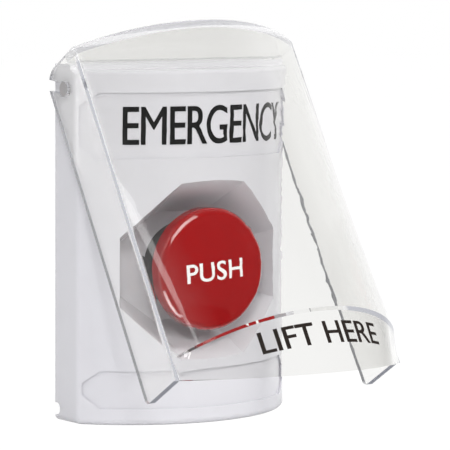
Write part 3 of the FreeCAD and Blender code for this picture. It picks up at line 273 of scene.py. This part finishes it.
finishes = {
    "white moulded plastic": ["front_housing"],
    "clear plastic": ["clear_shield"],
    "red moulded plastic": ["push_button_cap"],
    "pin plastic": ["left_hinge_pin", "right_hinge_pin"],
    "zinc plated sheet": ["back_plate", "lock_washer"],
    "bright steel": ["housing_screws", "button_stem", "stem_retaining_clip", "return_spring",
                     "contact_spring", "terminal_screws", "collar_screws"],
    "black plastic": ["operator_bushing", "lock_nut", "mounting_collar", "contact_carrier"],
    "gasket rubber": ["panel_gasket"],
    "dark grey plastic": ["contact_block_body", "contact_block_cover"],
    "contact brass": ["closed_contact_bridge", "open_contact_bridge",
                      "closed_contact_terminals", "open_contact_terminals"],
}
for finish, names in finishes.items():
    for name in names:
        nodes[name].data.materials.clear()
        nodes[name].data.materials.append(materials[finish])
print("materials set")


def addObject(name, data):
    item = bpy.data.objects.new(name, data)
    bpy.context.scene.collection.objects.link(item)
    return item


# coil springs of round wire, each wound to fill the box of the node it replaces
winding = {"stepsPerTurn": 28, "wireSides": 12}
springs = {
    "return_spring": {"wire": 0.0011, "turns": 6, "joint": "button_press",
                      "fixed": -0.0022, "stroke": 0.0055},
    "contact_spring": {"wire": 0.0005, "turns": 5, "joint": "carrier_slide",
                       "fixed": 0.0323, "stroke": 0.0055},
}


def coilSpring(nodeName, style):
    low, high = [Vector(corner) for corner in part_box(nodeName)]
    middle = (low + high) / 2
    across = (high.x - low.x - style["wire"]) / 2
    steps = style["turns"] * winding["stepsPerTurn"]
    rise = high.y - low.y - style["wire"]
    bm = bmesh.new()
    bmesh.ops.create_circle(bm, cap_ends=True, segments=winding["wireSides"], radius=style["wire"] / 2)
    bmesh.ops.translate(bm, verts=bm.verts, vec=(across, low.y + style["wire"] / 2, 0))
    bmesh.ops.spin(bm, geom=bm.verts[:] + bm.edges[:] + bm.faces[:], cent=(0, 0, 0), axis=(0, 1, 0),
                   dvec=(0, rise / steps, 0), angle=2 * math.pi * style["turns"], steps=steps)
    bmesh.ops.translate(bm, verts=bm.verts, vec=(middle.x, 0, middle.z))
    bmesh.ops.recalc_face_normals(bm, faces=bm.faces)
    mesh = bpy.data.meshes.new(nodeName + "_wire")
    bm.to_mesh(mesh)
    bm.free()
    for face in mesh.polygons:
        face.use_smooth = len(face.vertices) == 4  # not the two cut ends
    coil = addObject(nodeName + "_wire", mesh)
    coil.data.materials.append(materials["bright steel"])
    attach(coil, "base")
    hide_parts(nodeName)
    free = max(abs(low.y - style["fixed"]), abs(high.y - style["fixed"]))
    (free - style["stroke"]) / free
    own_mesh(coil)


for nodeName, style in springs.items():
    coilSpring(nodeName, style)
print("springs wound")


# a copy of a node's loose triangles, merged, with the smooth normals it had
def mergedCopy(nodeName, name, within=1e-6):
    source = nodes[nodeName].data
    bm = bmesh.new()
    bm.from_mesh(source)
    held = bm.loops.layers.float_vector.new("held")
    for face in bm.faces:
        for corner in face.loops:
            corner[held] = source.corner_normals[corner.index].vector
    bmesh.ops.remove_doubles(bm, verts=bm.verts, dist=within)
    mesh = bpy.data.meshes.new(name)
    bm.to_mesh(mesh)
    bm.free()
    normals = [corner.vector.copy() for corner in mesh.attributes["held"].data]
    mesh.attributes.remove(mesh.attributes["held"])
    mesh.normals_split_custom_set(normals)
    return mesh


# which faces of the shield are rims is told in its closed position: the shield is turned back
# by the tilt about its hinge, whose place is y and z
rims = {"tilt": 31.4, "hinge": (-0.0092, 0.0511), "panelFrom": 0.0413, "panelFacing": 0.5,
        "plateFrom": 0.0065, "plateFacing": 0.9}


def dressRimsWithPaintedLightAndShade(nodeName):
    mesh = mergedCopy(nodeName, nodeName + "_dressed")
    for finish in ("clear plastic", "satin plate rim painted light", "satin panel rim painted shade"):
        mesh.materials.append(materials[finish])
    turn = math.radians(rims["tilt"])
    for face in mesh.polygons:
        normal, place = face.normal, face.center
        back = normal.y * math.cos(turn) - normal.z * math.sin(turn)
        down = -normal.y * math.sin(turn) - normal.z * math.cos(turn)
        fromHinge = (place.y - rims["hinge"][0], place.z - rims["hinge"][1])
        high = fromHinge[0] * math.sin(turn) + fromHinge[1] * math.cos(turn)
        panel = abs(place.x) > rims["panelFrom"] and abs(normal.x) < rims["panelFacing"]
        # faces on the top plate's rim take the pale painted light, those on the side panels' rims the
        # dark painted shade
        if back > rims["plateFacing"] and high > rims["plateFrom"]:
            face.material_index = 1
        elif panel and max(back, down) > rims["panelFacing"]:
            face.material_index = 2
    shell = addObject(nodeName + "_dressed", mesh)
    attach(shell, "shield")
    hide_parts(nodeName)


dressRimsWithPaintedLightAndShade("clear_shield")
print("shield dressed")


# moves the outline of a flat word outwards, which makes its strokes bolder
def embolden(bm, across, up):
    sides = {}
    for edge in bm.edges:
        if not edge.is_boundary:
            continue
        start, end = edge.verts
        out = (end.co - start.co).cross(Vector((0, 0, 1))).normalized()
        if out.dot(edge.link_faces[0].calc_center_median() - start.co) > 0:
            out = -out
        for v in edge.verts:
            sides.setdefault(v, []).append(out)
    for v, outs in sides.items():
        both = sum(outs, Vector((0, 0, 0)))
        both *= 2.0 / max(both.length_squared, 1.0)  # a mitred corner, blunted where it is sharp
        v.co += Vector((both.x * across, both.y * up, 0))


lettering = {"curveSteps": 6, "mergeWithin": 1e-5, "cutWithin": 1e-6, "castFrom": -0.2,
             "layer": 0.00006, "thickness": 0.00009}


# a flat word, from -0.5 to 0.5 across and 0 to 1 up, cut into narrow strips so that it can bend
def flatWord(style):
    curve = bpy.data.curves.new(style["text"], "FONT")
    curve.body = style["text"]
    curve.size = 1.0
    curve.space_character = style["spacing"]
    curve.resolution_u = lettering["curveSteps"]
    item = addObject(style["text"], curve)
    bpy.context.view_layer.update()
    graph = bpy.context.evaluated_depsgraph_get()
    mesh = bpy.data.meshes.new_from_object(item.evaluated_get(graph))
    bpy.data.objects.remove(item)
    bm = bmesh.new()
    bm.from_mesh(mesh)
    bpy.data.meshes.remove(mesh)
    bmesh.ops.remove_doubles(bm, verts=bm.verts, dist=lettering["mergeWithin"])
    bmesh.ops.triangulate(bm, faces=bm.faces)
    embolden(bm, *style["bolder"])
    low = [min(v.co[axis] for v in bm.verts) for axis in (0, 1)]
    high = [max(v.co[axis] for v in bm.verts) for axis in (0, 1)]
    bmesh.ops.translate(bm, verts=bm.verts, vec=(-(low[0] + high[0]) / 2, -low[1], 0))
    bmesh.ops.scale(bm, verts=bm.verts, vec=(1 / (high[0] - low[0]), 1 / (high[1] - low[1]), 1))
    for cut in range(1, style["strips"]):
        parts = bm.verts[:] + bm.edges[:] + bm.faces[:]
        place = (cut / style["strips"] - 0.5, 0, 0)
        bmesh.ops.bisect_plane(bm, geom=parts, plane_co=place, plane_no=(1, 0, 0),
                               dist=lettering["cutWithin"])
    return bm


# lays a word on the outside of a node, cast along +Y, and gives it the thickness of the print
def layOnNode(bm, style):
    base = bmesh.new()
    base.from_mesh(nodes[style["on"]].data)
    tree = BVHTree.FromBMesh(base)
    ahead = Vector((0, 1, 0))
    for v in bm.verts:
        hit = tree.ray_cast(Vector((v.co.x, lettering["castFrom"], v.co.z)), ahead)[0]
        if hit is None:
            raise ValueError(style["name"] + " reaches past " + style["on"])
        v.co = hit - ahead * lettering["layer"]
    base.free()
    bmesh.ops.recalc_face_normals(bm, faces=bm.faces)
    if sum(f.normal.y * f.calc_area() for f in bm.faces) > 0:
        bmesh.ops.reverse_faces(bm, faces=bm.faces)
    mesh = bpy.data.meshes.new(style["name"])
    bm.to_mesh(mesh)
    bm.free()
    item = addObject(style["name"], mesh)
    item.data.materials.append(materials[style["ink"]])
    thick = item.modifiers.new("print", "SOLIDIFY")
    thick.thickness = lettering["thickness"]
    thick.offset = -1.0
    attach(item, style["body"])


# the upper word follows the bow of the housing, so its width is measured along the arc
upperWord = {"text": "EMERGENCY", "name": "upper_word", "on": "front_housing", "body": "base",
             "ink": "black print", "length": 0.0692, "height": 0.0127, "bolder": (0.013, 0.002),
             "spacing": 0.93, "strips": 60, "middle": 0.0030, "foot": 0.0328, "bow": 0.0523}


def bowedWord(style):
    bm = flatWord(style)
    for v in bm.verts:
        turn = (style["middle"] + v.co.x * style["length"]) / style["bow"]
        v.co = Vector((style["bow"] * math.sin(turn), 0, style["foot"] + v.co.y * style["height"]))
    return bm


# the word on the button stands a few degrees askew, as the head has turned on its stem
buttonWord = {"text": "PUSH", "name": "button_word", "on": "push_button_cap", "body": "button",
              "ink": "white print", "length": 0.0220, "height": 0.0064, "bolder": (0.010, 0.008),
              "spacing": 1.04, "strips": 12, "middle": (-0.0002, -0.0090), "askew": 4.0}


def straightWord(style):
    bm = flatWord(style)
    bmesh.ops.translate(bm, verts=bm.verts, vec=(0, -0.5, 0))
    bmesh.ops.scale(bm, verts=bm.verts, vec=(style["length"], style["height"], 1))
    turn = Matrix.Rotation(math.radians(style["askew"]), 3, "Z")
    bmesh.ops.rotate(bm, verts=bm.verts, cent=(0, 0, 0), matrix=turn)
    for v in bm.verts:
        v.co = Vector((style["middle"][0] + v.co.x, 0, style["middle"][1] + v.co.y))
    return bm


# the word on the chin leans back, opens out towards its foot and sags at both ends
chinWord = {"text": "LIFT HERE", "name": "chin_word", "on": "clear_shield", "body": "shield",
            "ink": "dark print", "length": 0.0461, "bolder": (0.014, 0.006), "spacing": 1.0,
            "strips": 48, "bow": 0.0578, "middle": -0.00095, "head": -0.0193, "foot": -0.0264,
            "headSag": 5.6, "footSag": 4.9, "footMiddle": 0.002, "lean": 0.00295, "fan": 0.0017}


def chinBand(style):
    bm = flatWord(style)
    for v in bm.verts:
        across, up = v.co.x, v.co.y
        high = style["bow"] * math.sin((style["middle"] + across * style["length"]) / style["bow"])
        low = high + style["lean"] + style["fan"] * across
        headLine = style["head"] - style["headSag"] * high ** 2
        footLine = style["foot"] - style["footSag"] * (low - style["footMiddle"]) ** 2
        v.co = Vector((low + (high - low) * up, 0, footLine + (headLine - footLine) * up))
    return bm


layOnNode(bowedWord(upperWord), upperWord)
layOnNode(straightWord(buttonWord), buttonWord)
layOnNode(chinBand(chinWord), chinWord)
print("words laid on")


# pale floor and a white surround, both dark in front of the object for what is reflected, where
# a studio has its camera: each edge is where that begins and where it is full, along y
room = {"floor": -0.0592, "size": 3.0, "floorColour": rgb(0.9, 0.9, 0.9), "floorWhite": 1.07,
        "floorGlow": 0.90, "floorEdge": (0.02, -0.06), "white": 1.0, "ambient": 0.42,
        "front": 0.03, "frontEdge": (0.10, -0.30), "glassFront": 0.12}


# 1 for a ray that some surface has reflected on its way to the floor or the world
def reflected(s):
    return s.ray("Is Glossy Ray") * s.ray("Glossy Depth").more(0.5)


def paleFloor():
    bm = bmesh.new()
    bmesh.ops.create_grid(bm, x_segments=1, y_segments=1, size=room["size"])
    bmesh.ops.translate(bm, verts=bm.verts, vec=(0, 0, room["floor"]))
    mesh = bpy.data.meshes.new("floor")
    bm.to_mesh(mesh)
    bm.free()
    floor = addObject("floor", mesh)
    s = Shader(bpy.data.materials.new("pale floor"))
    glass = s.ray("Is Transmission Ray")
    depth = s.node("ShaderNodeSeparateXYZ", None, {0: s.place()}, 1)
    near, far = room["floorEdge"]
    ahead = s.node("ShaderNodeMapRange", None, {"Value": depth, "From Min": near, "From Max": far})
    shiny = reflected(s)
    dark = ahead * shiny * (1.0 - glass * room["glassFront"])
    shade = s.mix(dark, rgb(1, 1, 1), rgb(*[room["front"]] * 3))
    seen = (s.ray("Is Camera Ray").max(glass) * room["floorGlow"]).max(shiny)
    diffuse = s.node("ShaderNodeBsdfDiffuse", None, {"Color": room["floorColour"]})
    glow = s.node("ShaderNodeEmission", None, {"Color": shade, "Strength": room["floorWhite"]})
    floor.data.materials.append(s.finish(s.blend(seen, diffuse, glow)))


def whiteWorld():
    world = bpy.data.worlds.new("studio")
    bpy.context.scene.world = world
    s = Shader(world, "ShaderNodeOutputWorld")
    glass = s.ray("Is Transmission Ray")
    depth = s.node("ShaderNodeSeparateXYZ", None, {0: s.place("Generated")}, 1)
    near, far = room["frontEdge"]
    shine = s.node("ShaderNodeMapRange", None, {
        "Value": depth, "From Min": near, "From Max": far,
        "To Min": room["white"], "To Max": room["front"]})
    plain = s.node("ShaderNodeMapRange", None, {
        "Value": s.ray("Is Camera Ray").max(glass),
        "To Min": room["ambient"], "To Max": room["white"]})
    mirror = reflected(s) * (1.0 - glass * room["glassFront"])
    level = s.node("ShaderNodeMix", None, {0: mirror, 2: plain, 3: shine})
    s.finish(s.node("ShaderNodeBackground", None, {"Color": rgb(1, 1, 1), "Strength": level}))


# the large lamps stay out of reflections, or they would draw bands of light on the shield
lamps = {
    "front left": {"place": (-0.58, -0.90, 0.60), "size": (0.3, 0.3), "power": 4.8, "mirrored": False},
    "front high": {"place": (-0.37, -1.02, 0.51), "size": (0.4, 0.4), "power": 1.2, "mirrored": False},
    "over": {"place": (0.0, -0.41, 1.13), "size": (0.5, 0.5), "power": 2.6, "mirrored": False},
    "right": {"place": (0.66, -0.62, 0.86), "size": (0.3, 0.3), "power": 5.9, "mirrored": False},
    "side": {"place": (-0.80, -0.10, 0.62), "size": (0.10, 0.40), "power": 0.4, "mirrored": True},
    "low side": {"place": (-0.75, -0.25, 0.0), "size": (0.08, 0.08), "power": 0.2, "mirrored": True,
                 "aim": (0, -0.02, -0.01)},
}
lampAim = (0, -0.02, 0)

# small bright cards close to the head, which show only as highlights on it
glints = {
    "high glint": {"place": (-0.0160, -0.0485, 0.0225), "aim": (-0.0125, -0.0328, 0.0061),
                   "size": (0.032, 0.017), "power": 0.0032, "turn": 28},
    "low glint": {"place": (-0.0285, -0.0365, -0.0380), "aim": (-0.0166, -0.0323, -0.0193),
                  "size": (0.030, 0.017), "power": 0.0032, "turn": -78},
}
glintSpread = 80


def aimed(ahead, turn):
    level = ahead.to_track_quat("-Z", "Y")
    return (level @ Quaternion((0, 0, 1), math.radians(turn))).to_euler()


def softLamp(name, style):
    data = bpy.data.lights.new(name, "AREA")
    data.shape = "RECTANGLE"
    data.size, data.size_y = style["size"]
    data.energy = style["power"]
    lamp = addObject(name, data)
    lamp.location = style["place"]
    ahead = Vector(style.get("aim", lampAim)) - Vector(style["place"])
    lamp.rotation_euler = aimed(ahead, style.get("turn", 0))
    lamp.visible_camera = False
    return lamp


paleFloor()
whiteWorld()
for name, style in lamps.items():
    lamp = softLamp(name, style)
    lamp.visible_glossy = lamp.visible_transmission = style["mirrored"]
for name, style in glints.items():
    card = softLamp(name, style)
    card.data.spread = math.radians(glintSpread)
    card.visible_diffuse = card.visible_transmission = False
print("light set")

# the photograph's own view: from the left and a little above, with a long lens
shot = {"azimuth": 34.09, "elevation": 4.80, "roll": 0.25, "target": (0.01300, -0.020, 0.00485),
        "distance": 1.0908, "focalPixels": 3253.6, "imagePixels": 450, "sensor": 36.0,
        "clip": (0.01, 50)}


def photoCamera():
    side, rise = math.radians(shot["azimuth"]), math.radians(shot["elevation"])
    back = Vector((-math.sin(side) * math.cos(rise), -math.cos(side) * math.cos(rise), math.sin(rise)))
    data = bpy.data.cameras.new("photo")
    data.sensor_width = shot["sensor"]
    data.lens = shot["focalPixels"] / shot["imagePixels"] * shot["sensor"]
    data.clip_start, data.clip_end = shot["clip"]
    camera = addObject("photo", data)
    camera.location = Vector(shot["target"]) + back * shot["distance"]
    camera.rotation_euler = aimed(-back, shot["roll"])
    bpy.context.scene.camera = camera


photoCamera()
bpy.context.scene.view_settings.view_transform = "Standard"

print("done")
